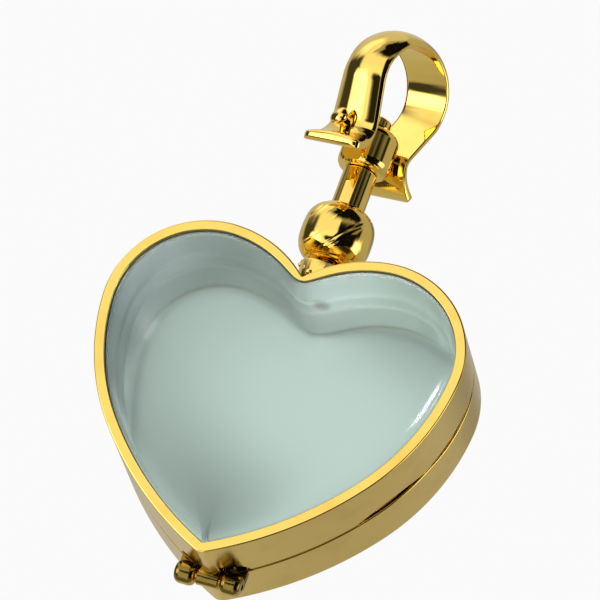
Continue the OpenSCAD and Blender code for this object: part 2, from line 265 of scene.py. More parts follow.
def lump(middle, size, seed):
    """A small uneven grain of metal: a ball swollen by a few waves."""
    rng = random.Random(seed)
    work = bmesh.new()
    bmesh.ops.create_icosphere(work, subdivisions=3, radius=1)
    waves = [(Vector([rng.uniform(-3, 3) for k in range(3)]), rng.uniform(0, 6)) for n in range(4)]
    points = []
    for vertex in work.verts:
        swell = 1 + sum(0.09 * math.sin(wave.dot(vertex.co) + shift) for wave, shift in waves)
        points.append([middle[k] + size[k] * swell * vertex.co[k] for k in range(3)])
    faces = [[v.index for v in face.verts] for face in work.faces]
    work.free()
    return np.array(points), faces, [DULL] * len(faces)


def new_node(tree, kind, links=None, **settings):
    """Adds a node, sets its options, and links or sets its inputs."""
    made = tree.nodes.new(kind)
    for key, value in settings.items():
        setattr(made, key, value)
    for socket, source in (links or {}).items():
        if isinstance(source, bpy.types.NodeSocket):
            tree.links.new(source, made.inputs[socket])
        else:
            made.inputs[socket].default_value = source
    return made


def mix_colours(tree, share, first, second):
    """A colour between two colours or colour sockets."""
    mixed = new_node(tree, "ShaderNodeMix", {"Factor": share, 6: first, 7: second}, data_type="RGBA")
    return mixed.outputs[2]


def new_material(name):
    """A material with its node tree and its shader."""
    material = bpy.data.materials.new(name)
    material.use_nodes = True
    tree = material.node_tree
    return material, tree, tree.nodes["Principled BSDF"]


def new_group(name, inputs, outputs):
    """An empty shader group with value inputs and the given outputs."""
    group = bpy.data.node_groups.new(name, "ShaderNodeTree")
    for socket, value in inputs.items():
        made = group.interface.new_socket(socket, in_out="INPUT", socket_type="NodeSocketFloat")
        made.default_value = value
    for socket, kind in outputs.items():
        group.interface.new_socket(socket, in_out="OUTPUT", socket_type=kind)
    return group, group.nodes.new("NodeGroupInput"), group.nodes.new("NodeGroupOutput")


# Effects shared by all gold: fine wipe marks, soft waviness, and patches of the dark colour, which
# are tarnish on most golds, painted shade on the near-black gold and painted dark reflections on the
# beaten gold
MARK_SHARE = 0.12
wear, wear_in, wear_out = new_group(
    "worn_plate", {"Grain": 9000, "Waves": 500},
    {"Height": "NodeSocketFloat", "Marks": "NodeSocketFloat", "Tarnish And Painted Dark": "NodeSocketFloat"})
where = new_node(wear, "ShaderNodeTexCoord").outputs["Object"]
stretched = new_node(wear, "ShaderNodeMapping", {
    "Vector": where, "Scale": (1, 0.12, 0.35), "Rotation": (0.5, 0.3, 0.9)})
marks = new_node(wear, "ShaderNodeTexNoise", {
    "Vector": stretched.outputs[0], "Scale": wear_in.outputs["Grain"], "Detail": 3})
waves = new_node(wear, "ShaderNodeTexNoise", {
    "Vector": where, "Scale": wear_in.outputs["Waves"], "Detail": 1})
patches = new_node(wear, "ShaderNodeTexNoise", {"Vector": where, "Scale": 350, "Detail": 4})
height = new_node(wear, "ShaderNodeMath", {
    0: marks.outputs["Fac"], 1: MARK_SHARE, 2: waves.outputs["Fac"]}, operation="MULTIPLY_ADD")
tarnish_and_painted_dark = new_node(wear, "ShaderNodeMapRange", {
    "Value": patches.outputs["Fac"], "From Min": 0.5, "From Max": 0.75})
wear.links.new(height.outputs[0], wear_out.inputs["Height"])
wear.links.new(marks.outputs["Fac"], wear_out.inputs["Marks"])
wear.links.new(tarnish_and_painted_dark.outputs[0], wear_out.inputs["Tarnish And Painted Dark"])


def gold_material(name, colour, dark, roughness, rough_range, bump, waves=500):
    """Gold plate with wipe marks, waviness and patches of the dark colour, which are tarnish, and are
    painted shade and dark reflections where that colour is near black.
    """
    material, tree, shader = new_material(name)
    worn = new_node(tree, "ShaderNodeGroup", {"Waves": waves}, node_tree=wear)
    tint = mix_colours(tree, worn.outputs["Tarnish And Painted Dark"], (*colour, 1), (*dark, 1))
    rough = new_node(tree, "ShaderNodeMapRange", {
        "Value": worn.outputs["Marks"], "From Min": 0.3, "From Max": 0.7,
        "To Min": roughness, "To Max": roughness + rough_range})
    bumps = new_node(tree, "ShaderNodeBump", {
        "Height": worn.outputs["Height"], "Strength": bump, "Distance": 0.2 * MM})
    tree.links.new(tint, shader.inputs["Base Color"])
    tree.links.new(rough.outputs[0], shader.inputs["Roughness"])
    tree.links.new(bumps.outputs[0], shader.inputs["Normal"])
    shader.inputs["Metallic"].default_value = 1.0
    return material


polished = gold_material("polished_gold", (1.0, 0.72, 0.17), (0.96, 0.64, 0.13), 0.03, 0.04, 0.02)
satin = gold_material("satin_gold", (1.0, 0.73, 0.20), (0.94, 0.66, 0.18), 0.14, 0.10, 0.03)
solder = gold_material("solder", (1.0, 0.80, 0.24), (0.90, 0.62, 0.12), 0.06, 0.12, 0.15, 2500)
# Near-black gold, painted shade for the recesses: the inner wall and ledge behind the glass, the webs
# and the cuts round the hinge.
shade_gold = gold_material(
    "painted_shade_gold", (0.26, 0.18, 0.04), (0.10, 0.07, 0.02), 0.08, 0.15, 0.08, 2000)
# Hammered gold for the hinge barrels, with near-black patches that are painted dark reflections.
beaten_and_shaded = gold_material("beaten_gold_painted_reflections", (0.85, 0.6, 0.13), (0.10, 0.07, 0.02), 0.04, 0.05, 0.25, 1300)
golds = [polished, satin, solder, shade_gold, beaten_and_shaded]    # in the order of the finishes

COLLAR_LOW, COLLAR_HIGH = 23, 25.9
COLLAR_LOW_R, COLLAR_HIGH_R = 1.6, 1.9
COLLAR_BORE_R = 1.02
COLLAR_SINK = 1.2       # how far it goes on below its visible foot
COLLAR_EDGE = 0.12
COLLAR_MARGIN = 3.5     # degrees that half a collar keeps from the parting plane
GRAIN_COUNT = 16
HINGE_CUT = (3.2, 1.7, 1.6)     # half width, half depth and height of the place painted dark, as shade

notch_line = outline(0)[TIP_STEPS + sum(ARC_STEPS[:NOTCH_ARC]):TIP_STEPS + sum(ARC_STEPS)][::-1]


def notch_height(x):
    """Height of the outer wall in the notch, at a distance from the middle."""
    return np.interp(np.abs(x), notch_line[:, 0], notch_line[:, 1])


def paint_shade_in_hinge_cut(frame_piece):
    """Gives the faces in the cuts round the hinge the dark gold, painted shade for the cuts."""
    wide, deep, high = HINGE_CUT
    for face in frame_piece.data.polygons:
        x, y, z = (face.center - tip) / MM
        if abs(x) < wide and abs(y) < deep and z < high and abs(face.normal.y) > 0.3:
            face.material_index = PAINTED_SHADE


def half_collar(side):
    """Half of the soldered collar under the ball, standing on the wall in the notch."""
    low = COLLAR_LOW - COLLAR_SINK
    profile = [(COLLAR_BORE_R, low), (COLLAR_LOW_R - BITE, low), (COLLAR_LOW_R, COLLAR_LOW),
               (COLLAR_HIGH_R - 0.02, COLLAR_HIGH - COLLAR_EDGE),
               (COLLAR_HIGH_R - 0.04, COLLAR_HIGH - 0.04), (COLLAR_HIGH_R - COLLAR_EDGE, COLLAR_HIGH),
               (COLLAR_BORE_R, COLLAR_HIGH), (COLLAR_BORE_R - 0.02, COLLAR_HIGH - 0.1)]
    start = COLLAR_MARGIN + (180 if side < 0 else 0)
    points, faces, finishes = turned(profile, 64, start, 180 - 2 * COLLAR_MARGIN)
    edge = side * HALF_GAP
    points[:, 1] = np.maximum(points[:, 1], edge) if side > 0 else np.minimum(points[:, 1], edge)
    points[:, 2] = np.maximum(points[:, 2], notch_height(points[:, 0]) - 0.4)
    return points, faces, finishes


def solder_grains(side, count, seed):
    """Crumbs of solder where the collar meets the side walls."""
    rng = random.Random(seed)
    grains = []
    for k in range(count):
        turn = math.radians(rng.uniform(12, 168)) * side
        rise = rng.uniform(-0.05, 1.6)
        r = COLLAR_LOW_R + 0.1 * rise + rng.uniform(-0.1, 0.15)
        size = [rng.uniform(0.12, 0.3) for axis in range(3)]
        x = r * math.cos(turn)
        grains.append(lump((x, r * math.sin(turn), float(notch_height(x)) + rise), size, seed + k))
    return grains


centre_barrel = along_x(turned(
    rounded_rod(-CENTRE_BARREL_HALF, CENTRE_BARREL_HALF, CENTRE_BARREL_R, 0.06), 64, finish=BEATEN))
front_frame = build("front_frame_gold", [
    ring(FRONT_DEPTH, front_edge, -1), half_collar(-1), centre_barrel,
    *solder_grains(-1, GRAIN_COUNT, 5),
], golds)
paint_shade_in_hinge_cut(front_frame)
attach(front_frame, "front_half")
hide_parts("front_frame")

# Back frame
# The same cast gold ring turned to the back, with a lip that shows in the parting gap. The stud
# for the ball and two outer hinge barrels, each on a web, are soldered to it.
LIP_INSET = 0.9
LIP_REACH = 0.5
LIP_ROUND = 0.08
LIP_INNER_INSET = LEDGE_INSET - 0.05
HINGE_HALF = 2.6
OUTER_BARREL_START = 0.95
OUTER_BARREL_R = 0.88
OUTER_BARREL_ROUND = 0.5
TONGUE_CUT_R = 0.8
BACK_RELIEF = (80, 0.3, 3.4)    # direction that it faces, depth and half length
WEB_MARGIN = 0.03
STUD_R = 0.9
STUD_TOP = 29.2


def back_edge(line):
    """Depth at which the back half's wall ends, which is cut back round the centre barrel."""
    edge = HALF_GAP + relief(line, *BACK_RELIEF)
    tongue = np.abs(line[:, 0]) < OUTER_BARREL_START
    return np.where(tongue, np.maximum(edge, round_cut(line, TONGUE_CUT_R)), edge)


def lip():
    """The lip round the parting gap, with its front edge rounded."""
    rows = ((LIP_INSET, LEDGE_FAR), (LIP_INSET, -LIP_REACH + LIP_ROUND),
            (LIP_INSET + LIP_ROUND / 4, -LIP_REACH + LIP_ROUND / 4),
            (LIP_INSET + LIP_ROUND, -LIP_REACH), (LIP_INNER_INSET, -LIP_REACH),
            (LIP_INNER_INSET, LEDGE_FAR))
    return grid_shell(np.array([at_depth(outline(inset), y) for inset, y in rows]), close_rows=True)


def barrel_and_web(side):
    """One outer hinge barrel and the block that joins it to the back wall."""
    low, high = sorted((side * OUTER_BARREL_START, side * HINGE_HALF))
    barrel = along_x(turned(
        rounded_rod(low, high, OUTER_BARREL_R, OUTER_BARREL_ROUND), 64, finish=BEATEN))
    xs = np.linspace(OUTER_BARREL_START + WEB_MARGIN, HINGE_HALF - WEB_MARGIN, 12)
    flank = outline(BITE)[:TIP_STEPS + ARC_STEPS[0]]
    z = np.interp(xs, flank[:, 0], flank[:, 1])
    near, far = HALF_GAP, 0.7 * OUTER_BARREL_R
    corners = ((near, 0 * xs), (far, 0 * xs), (far, z), (near, z))
    web = np.stack([np.stack([side * xs, y + 0 * xs, height], 1) for y, height in corners], 1)
    # The web takes the dark gold: painted shade between the barrel and the wall.
    return [barrel, grid_shell(web, caps=True, finish=PAINTED_SHADE)]


back_frame = build("back_frame_gold", [
    ring(BACK_DEPTH, back_edge, 1), lip(), half_collar(1), *barrel_and_web(1), *barrel_and_web(-1),
    turned(rounded_rod(COLLAR_LOW, STUD_TOP, STUD_R, 0.08), 48), *solder_grains(1, GRAIN_COUNT, 40),
], golds)
paint_shade_in_hinge_cut(back_frame)
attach(back_frame, "back_half")
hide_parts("back_frame")

# Hinge pin
# A plain gold rod through the three barrels, as long as the hinge is wide.
# It is held in the outer barrels, and its ends are rounded.
PIN_R = 0.3
hinge_pin = build("hinge_pin_gold", [
    along_x(turned(rounded_rod(-HINGE_HALF, HINGE_HALF, PIN_R, 0.05), 32))], golds)
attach(hinge_pin, "back_half")
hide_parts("hinge_pin")

# Glass faces
# Each is a heart-shaped cup of pale green glass with a polished dome and ground side walls, set
# on the ledge. The dome's height is a membrane over the outline, so it has no crease at the notch.
GLASS_INSET = 0.83
GLASS_T = 0.9
FRONT_CORNER_T = 0.3    # thickness left where the front cup's inner wall meets its dome
INNER_SHOULDER = 0.4    # share of the thickness between the edges of the outer and inner dome
GLASS_RECESS = 0.45
GLASS_CROWN = 1.3
GLASS_FOOT = 1.25
SKIRT_INSET = 1.56
SKIRT_END = 0.14
DOME_RINGS = 56
DOME_MIDDLE = np.array([0, 16.0])
DOME_POLE = 0.002       # scale of the dome's last ring
MEMBRANE_STEPS = 700
MEMBRANE_REST = 1e-14
CLEAR, GROUND = 0, 1
REFLECTION_SPOT_PLACE = (2.3, -5.0, 20.9)
REFLECTION_SPOT_SCALE = (1000, 300, 2000)
# The ground walls are painted darkest, as shade, round this place.
DIM_LEFT, DIM_UP = 14, 12       # from the tip to the dimmest place of the ground walls

dome_turns = np.radians(np.linspace(0, 90, DOME_RINGS + 1)[:-1])
dome_scales = np.sqrt(np.cos(dome_turns))


def membrane():
    """Height of a membrane under even load at each point of the dome's rings, 1 at its peak.
    The edges of its triangles pull like springs, and conjugate gradients find the balance."""
    loop = outline(GLASS_INSET)
    n = len(loop)
    rings = DOME_MIDDLE + dome_scales[:, None, None] * (loop - DOME_MIDDLE)
    points = np.concatenate([rings.reshape(-1, 2), [DOME_MIDDLE]])
    r, c = np.meshgrid(np.arange(DOME_RINGS - 1), np.arange(n), indexing="ij")
    a, b = r * n + c, r * n + (c + 1) % n
    triangles = np.concatenate([np.stack([a, b, b + n], -1).reshape(-1, 3),
                                np.stack([a, b + n, a + n], -1).reshape(-1, 3)])
    last = (DOME_RINGS - 1) * n + np.arange(n)
    fan = np.stack([last, np.roll(last, -1), np.full(n, len(points) - 1)], -1)
    triangles = np.concatenate([triangles, fan])
    firsts, seconds, weights = [], [], []
    load = np.zeros(len(points))
    for k in range(3):
        i, j, o = triangles[:, k], triangles[:, (k + 1) % 3], triangles[:, (k + 2) % 3]
        u, v = points[i] - points[o], points[j] - points[o]
        area = np.abs(u[:, 0] * v[:, 1] - u[:, 1] * v[:, 0]) + 1e-12
        weight = np.maximum((u * v).sum(1) / area, 1e-4) / 2
        firsts += [i, j]
        seconds += [j, i]
        weights += [weight, weight]
        load += np.bincount(i, area / 6, len(points))
    i, j, weight = (np.concatenate(part) for part in (firsts, seconds, weights))
    total = np.bincount(i, weight, len(points))
    free = np.arange(len(points)) >= n
    height = np.zeros(len(points))
    rest = np.where(free, load, 0)
    step = rest / total
    size = rest @ step
    for count in range(MEMBRANE_STEPS):
        pull = np.where(free, total * step - np.bincount(i, weight * step[j], len(points)), 0)
        share = size / (step @ pull)
        height += share * step
        rest = rest - share * pull
        eased = rest / total
        new_size = rest @ eased
        if new_size < MEMBRANE_REST:
            break
        step = eased + new_size / size * step
        size = new_size
    height = height / height.max()
    return np.append(height[:-1].reshape(DOME_RINGS, n), np.full((1, n), height[-1]), 0)


membrane_height = membrane()
dome_rise = np.sqrt(membrane_height * (2 - membrane_height))


def dome_points(loop, edge, crown, side):
    """Grid of a dome's points, from its edge to its middle."""
    scales = np.append(dome_scales, DOME_POLE)[:, None, None]
    rings = DOME_MIDDLE + scales * (loop - DOME_MIDDLE)
    y = side * (edge + crown * dome_rise)
    return np.stack([rings[..., 0], y, rings[..., 1]], -1)


def glass_cup(depth, side, corner_t):
    """One closed cup: dome, side wall, foot with a skirt over the ledge, inner wall and dome."""
    edge = depth - GLASS_RECESS
    inner_edge = edge - INNER_SHOULDER * GLASS_T
    inner_crown = edge + GLASS_CROWN - GLASS_T - inner_edge
    outer, skirt = outline(GLASS_INSET), outline(SKIRT_INSET)
    inner, foot = outline(GLASS_INSET + corner_t), outline(GLASS_INSET + GLASS_T)
    top = dome_points(outer, edge, GLASS_CROWN, side)[::-1]
    under = dome_points(inner, inner_edge, inner_crown, side)
    walls = ((outer, edge - GUARD), (outer, GLASS_FOOT), (skirt, GLASS_FOOT), (skirt, SKIRT_END),
             (foot, SKIRT_END), (inner, inner_edge - GUARD))
    points = np.concatenate([top, [at_depth(line, side * y) for line, y in walls], under])
    finish = np.full(len(points) - 1, GROUND)
    finish[:len(top) - 1] = CLEAR
    finish[-len(under) + 1:] = CLEAR
    finish[-len(under) - 1:-len(under) + 1] = CLEAR
    return grid_shell(points, caps=True, finish=finish)


def glass_material():
    """Clear glass with a faint green tint and smears, and a painted reflection of the gold ball, in
    gold and blue, near the notch.
    """
    material, tree, shader = new_material("clear_glass")
    where = new_node(tree, "ShaderNodeTexCoord").outputs["Object"]
    smears = new_node(tree, "ShaderNodeTexNoise", {"Vector": where, "Scale": 120, "Detail": 3})
    rough = new_node(tree, "ShaderNodeMapRange", {
        "Value": smears.outputs["Fac"], "From Min": 0.5, "From Max": 0.8,
        "To Min": 0.11, "To Max": 0.14})
    # A painted reflection of the ball, mottled gold and blue, on the glass near the notch.
    reflection_spot = new_node(tree, "ShaderNodeMapping", {
        "Vector": where, "Location": tuple(-tip - Vector(REFLECTION_SPOT_PLACE) * MM)})
    reflection_spot = new_node(tree, "ShaderNodeMapping", {"Vector": reflection_spot.outputs[0], "Scale": REFLECTION_SPOT_SCALE})
    from_reflection_spot = new_node(tree, "ShaderNodeVectorMath", {0: reflection_spot.outputs[0]}, operation="LENGTH")
    reflection_share = new_node(tree, "ShaderNodeMapRange", {
        "Value": from_reflection_spot.outputs["Value"], "From Min": 0.2, "From Max": 1,
        "To Min": 0.8, "To Max": 0}, interpolation_type="SMOOTHSTEP")
    blotches = new_node(tree, "ShaderNodeTexNoise", {"Vector": where, "Scale": 2500, "Detail": 2})
    painted_reflection = mix_colours(tree, blotches.outputs["Fac"], (0.80, 0.62, 0.36, 1), (0.40, 0.52, 0.62, 1))
    tint = mix_colours(tree, reflection_share.outputs[0], (0.90, 0.96, 0.93, 1), painted_reflection)
    tree.links.new(rough.outputs[0], shader.inputs["Roughness"])
    tree.links.new(tint, shader.inputs["Base Color"])
    shader.inputs["Transmission Weight"].default_value = 1.0
    shader.inputs["IOR"].default_value = 1.5
    shader.inputs["Specular Tint"].default_value = (0.3, 0.3, 0.3, 1)
    return material


def ground_material():
    """Finely ground glass, matt and greenish grey, with painted shade and a painted glow: darkest and
    without glow round a place at the left, paler and glowing away from it.
    """
    material, tree, shader = new_material("ground_glass")
    where = new_node(tree, "ShaderNodeTexCoord").outputs["Object"]
    cloud = new_node(tree, "ShaderNodeTexNoise", {"Vector": where, "Scale": 180, "Detail": 3})
    flat = new_node(tree, "ShaderNodeMapping", {"Vector": where, "Scale": (1, 0, 1)})
    from_painted_shade = new_node(tree, "ShaderNodeVectorMath", {
        0: flat.outputs[0], 1: (tip.x - DIM_LEFT * MM, 0, tip.z + DIM_UP * MM)}, operation="DISTANCE")
    painted_light_share = new_node(tree, "ShaderNodeMapRange", {
        "Value": from_painted_shade.outputs["Value"], "From Min": 5 * MM, "From Max": 22 * MM})
    # The walls' tint is painted shade: dark near that place and pale away from it.
    dim = mix_colours(tree, cloud.outputs["Fac"], (0.13, 0.15, 0.14, 1), (0.18, 0.20, 0.19, 1))
    pale = mix_colours(tree, cloud.outputs["Fac"], (0.72, 0.76, 0.73, 1), (0.84, 0.87, 0.85, 1))
    tint = mix_colours(tree, painted_light_share.outputs[0], dim, pale)
    # A painted glow, which grows away from that place.
    painted_glow = mix_colours(tree, painted_light_share.outputs[0], (0.01, 0.01, 0.01, 1), (0.17, 0.19, 0.18, 1))
    tree.links.new(tint, shader.inputs["Base Color"])
    tree.links.new(painted_glow, shader.inputs["Emission Color"])
    shader.inputs["Emission Strength"].default_value = 1.0
    shader.inputs["Roughness"].default_value = 0.6
    shader.inputs["Specular IOR Level"].default_value = 0.0
    return material


glasses = [glass_material(), ground_material()]
seen_in_glass = bpy.data.collections.new("seen_in_glass")
for name, node_name, body, cup_sizes in (
        ("front_glass_clear", "front_glass", "front_half", (FRONT_DEPTH, -1, FRONT_CORNER_T)),
        ("back_glass_clear", "back_glass", "back_half", (BACK_DEPTH, 1, GLASS_T))):
    cup = build(name, [glass_cup(*cup_sizes)], glasses, 50)
    cup.visible_shadow = False
    seen_in_glass.objects.link(cup)
    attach(cup, body)
    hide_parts(node_name)

# Screw ball
# A turned gold ball with a squarish profile that screws down on the stud and holds the halves
# shut. Its turning marks and the file cuts across its face are cut into the mesh.
BALL_R = 2.74
BALL_HALF_H = 2.51
BALL_Z = 28.66
BALL_POWER = 2.8


def superellipse(r, half_h, power, rings):
    """Rows of radius and height of a squarish round profile."""
    turn = np.radians(np.linspace(-89, 89, rings))
    radius = r * np.cos(turn) ** (2 / power)
    height = half_h * np.sign(turn) * np.abs(np.sin(turn)) ** (2 / power)
    return np.stack([radius, height], 1)


def cut_groove(points, middle, facing, offset, width, depth):
    """Presses a groove into points where a plane cuts them, towards the middle."""
    facing = np.array(facing) / np.linalg.norm(facing)
    from_middle = points - middle
    away = (from_middle @ facing - offset) / width
    press = depth * np.exp(-away ** 2)
    return points - from_middle / np.linalg.norm(from_middle, axis=1)[:, None] * press[:, None]


# Columns: direction that the cut's plane faces, its offset, and the groove's width and depth
BALL_GROOVES = (
    ((-0.73, -0.282, 0.622), -0.383, 0.07, 0.035),
    ((-0.705, -0.328, 0.629), -0.618, 0.06, 0.015),
    ((-0.739, -0.537, 0.406), 1.537, 0.06, 0.02),
    ((-0.735, -0.51, 0.447), 2.633, 0.06, 0.02),
    ((-0.069, -0.056, 0.996), -2.11, 0.07, 0.07),
)
ball_points, ball_faces, ball_finishes = turned(
    superellipse(BALL_R, BALL_HALF_H, BALL_POWER, 150) + (0, BALL_Z), 300)
ball_middle = np.array([0, 0, BALL_Z])
for facing, offset, width, depth in BALL_GROOVES:
    ball_points = cut_groove(ball_points, ball_middle, facing, offset, width, depth)
screw_ball = build("screw_ball_gold", [(ball_points, ball_faces, ball_finishes)], golds, 45)
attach(screw_ball, "ball")
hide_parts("screw_ball")

# Post
# A smooth round gold post on the ball, turned in one piece and necked to turn in the barrel.
# The cap on top is riveted over the barrel and keeps the post in it.
POST_LOW = 29.9
POST_R = 1.3
JOURNAL_R = 0.8
RUNNING_GAP = 0.06
BARREL_LOW, BARREL_HIGH = 34.3, 37.8
CAP_R, CAP_H = 0.97, 1.0
cap_low = BARREL_HIGH + RUNNING_GAP
post = build("post_gold", [
    turned(rounded_rod(POST_LOW, BARREL_LOW - RUNNING_GAP, POST_R, 0.1)),
    turned(rounded_rod(BARREL_LOW - BITE, cap_low + BITE, JOURNAL_R, 0.02), 48),
    turned(rounded_rod(cap_low, cap_low + CAP_H, CAP_R, 0.25), 72)], golds)
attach(post, "ball")
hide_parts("post")

# Swivel barrel
# The round gold block that the post turns in, which swings on the rivets.
# It is turned with full corners and pressed flat on the two sides that face the bail's legs.
BARREL_R = 2.03
BARREL_ROUND = 0.7
BARREL_FLAT = 1.74
pin = Vector(joints["bail_swing"]["pos_m"])
pin_axis = np.array(Vector(joints["bail_swing"]["axis"]).normalized())
pin_middle = np.array((pin - tip) / MM)
points, faces, finishes = turned(
    rounded_rod(BARREL_LOW, BARREL_HIGH, BARREL_R, BARREL_ROUND), 160)
reach = (points - pin_middle) @ pin_axis
over = reach - np.clip(reach, -BARREL_FLAT, BARREL_FLAT)
points = points - over[:, None] * pin_axis
swivel_barrel = build("swivel_barrel_gold", [(points, faces, finishes)], golds, 28)
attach(swivel_barrel, "swivel")
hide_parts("swivel_barrel")

# Bail
# A half-round gold strip, flat inside, bent to an omega, its lips turned out below the waist.
# Its section is swept along the bend, and is widest at the lips.
ARCH_HALF_W, ARCH_RISE = 3.9, 3.34
SHOULDER_R = 3.18
LEG_ANGLE = math.radians(23)
LEG_STRAIGHT = 2.9
WAIST_R = 2.36
LIP_ANGLE = math.radians(69)
STRIP_T = 1.0
STRIP_DOME = 0.66
SIDE_ROUND, FOOT_ROUND = 0.2, 0.1
LIP_DOME = 0.36
LIP_END = 0.45                          # length of the rounded end beyond the lip's last row
END_NARROW, END_THIN, END_RISE = 0.8, 0.74, 0.37
BAIL_FORWARD, BAIL_ASIDE = 0.52, 0.2
BAIL_LEAN = math.radians(7.5)
waist = (ARCH_HALF_W - SHOULDER_R + (SHOULDER_R + WAIST_R) * math.cos(LEG_ANGLE)
         - LEG_STRAIGHT * math.sin(LEG_ANGLE) - WAIST_R)
arch_z = (SHOULDER_R + WAIST_R) * math.sin(LEG_ANGLE) + LEG_STRAIGHT * math.cos(LEG_ANGLE)
lip_z = -WAIST_R * math.sin(LIP_ANGLE)
width_heights = (lip_z, 0, arch_z, arch_z + ARCH_RISE)
HALF_WIDTHS = (2.64, 2.22, 1.94, 2.0)   # at the lip, the waist, the shoulder and the crown


def leg_line():
    """Inner line of one leg from the crown to the lip: places and outward normals."""
    places, normals = [], []
    for a in np.linspace(math.pi / 2, 0, 60, endpoint=False):
        out = np.array([math.cos(a) / ARCH_HALF_W, math.sin(a) / ARCH_RISE])
        places.append((ARCH_HALF_W * math.cos(a), arch_z + ARCH_RISE * math.sin(a)))
        normals.append(out / np.linalg.norm(out))
    shoulder = np.array([ARCH_HALF_W - SHOULDER_R, arch_z])
    for a in np.linspace(0, LEG_ANGLE, 16, endpoint=False):
        places.append(shoulder + (SHOULDER_R * math.cos(a), -SHOULDER_R * math.sin(a)))
        normals.append((math.cos(a), -math.sin(a)))
    corner = shoulder + (SHOULDER_R * math.cos(LEG_ANGLE), -SHOULDER_R * math.sin(LEG_ANGLE))
    down = np.array([-math.sin(LEG_ANGLE), -math.cos(LEG_ANGLE)])
    for k in np.linspace(0, LEG_STRAIGHT, 8, endpoint=False):
        places.append(corner + down * k)
        normals.append((math.cos(LEG_ANGLE), -math.sin(LEG_ANGLE)))
    for a in np.linspace(LEG_ANGLE, -LIP_ANGLE, 48):
        places.append((waist + WAIST_R - WAIST_R * math.cos(a), WAIST_R * math.sin(a)))
        normals.append((math.cos(a), -math.sin(a)))
    return np.array(places), np.array(normals)


lean_side = np.array([pin_axis[1], -pin_axis[0], 0])
up = np.array([0, 0, 1.0])
strip_side = lean_side * math.cos(BAIL_LEAN) - up * math.sin(BAIL_LEAN)
strip_up = up * math.cos(BAIL_LEAN) + lean_side * math.sin(BAIL_LEAN)
bail_middle = pin_middle - BAIL_FORWARD * pin_axis + BAIL_ASIDE * strip_side


def softened(corner, before, after, reach):
    """Points that round one corner of a section, from twice reach before it to reach after it."""
    back, onward = before - corner, after - corner
    back_length = np.linalg.norm(back)
    start = corner + min(reach * 2, back_length) * back / back_length
    end = corner + reach * onward / np.linalg.norm(onward)
    t = np.linspace(0, 1, 10)[:, None]
    return (1 - t) ** 2 * start + 2 * t * (1 - t) * corner + t ** 2 * end


def strip_section(half, rise):
    """Section of the strip: domed outside by a rise, flat inside. Columns: across, outward."""
    r = (half ** 2 + rise ** 2) / (2 * rise)
    edge = math.asin(half / r)
    turn = np.linspace(-0.8, 0.8, 40) * edge
    dome = np.stack([r * np.sin(turn), STRIP_T - r * (1 - np.cos(turn))], 1)
    side = STRIP_T - rise
    right_side, right_foot = np.array([half, side]), np.array([half, 0])
    left_side, left_foot = right_side * (-1, 1), right_foot * (-1, 1)
    return np.concatenate([
        dome,
        softened(right_side, dome[-1], right_foot, SIDE_ROUND),
        softened(right_foot, right_side, left_foot, FOOT_ROUND),
        softened(left_foot, right_foot, left_side, FOOT_ROUND),
        softened(left_side, left_foot, dome[0], SIDE_ROUND)])


def bail_points():
    """Grid of the bail's points, from the front lip over the crown to the back lip."""
    places, normals = leg_line()
    rows = []
    for side in (-1, 1):
        leg = []
        for (reach, height), (out, rise) in zip(places, normals):
            half = np.interp(height, width_heights, HALF_WIDTHS)
            normal = side * out * pin_axis + rise * strip_up
            foot = bail_middle + side * reach * pin_axis + height * strip_up
            rise_here = np.interp(height, (lip_z, 0), (LIP_DOME, STRIP_DOME))
            leg.append((foot, normal, half, rise_here, 0))
        foot, normal, half, rise_here = leg[-1][:4]
        onward = foot - leg[-2][0]
        onward /= np.linalg.norm(onward)
        for a in np.radians((15, 30, 45, 60, 75, 88)):
            beyond = foot + LIP_END * math.sin(a) * onward
            leg.append((beyond, normal, half, rise_here, 1 - math.cos(a)))
        rows.append(leg)
    points = []
    for foot, normal, half, rise, less in rows[0][::-1] + rows[1][1:]:
        shrink = (1 - END_NARROW * less / half, 1 - END_THIN * less / STRIP_T)
        section = strip_section(half, rise) * shrink + (0, END_RISE * less)
        points.append(foot + np.outer(section[:, 1], normal) + np.outer(section[:, 0], strip_side))
    return np.array(points)


bail = build("bail_gold", [grid_shell(bail_points(), caps=True)], golds, 45)
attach(bail, "bail")
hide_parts("bail")

# Rivets
# Gold stubs through the bail's waist that the barrel swings on, with heads left lumpy by the
# hammer. Each is a turned shank with an uneven grain for its head.
RIVET_R = 0.5
RIVET_START = 1.3
RIVET_STAND = 0.4
HEAD_SEED = 71
HEAD_R, HEAD_LENGTH = 0.66, 0.85
for name, node_name, side, leg_outside in (
        ("rivet_front_gold", "rivet_front", -1, waist + STRIP_T + BAIL_FORWARD),
        ("rivet_back_gold", "rivet_back", 1, waist + STRIP_T - BAIL_FORWARD)):
    head_start = leg_outside + RIVET_STAND
    shank = turned(rounded_rod(RIVET_START, head_start + 0.2, RIVET_R, 0.03), 40)
    points, faces, finishes = lump(
        (0, 0, head_start + HEAD_LENGTH / 2), (HEAD_R, HEAD_R, HEAD_LENGTH / 2), HEAD_SEED + side)
    head = (points, faces, [POLISHED] * len(faces))
    shells = []
    for points, faces, finishes in (shank, head):
        placed = (pin_middle + np.outer(points[:, 2], side * pin_axis)
                  + np.outer(points[:, 0], strip_side) + np.outer(points[:, 1], strip_up))
        shells.append((placed, faces, finishes))
    rivet = build(name, shells, golds, 40)
    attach(rivet, "bail")
    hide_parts(node_name)

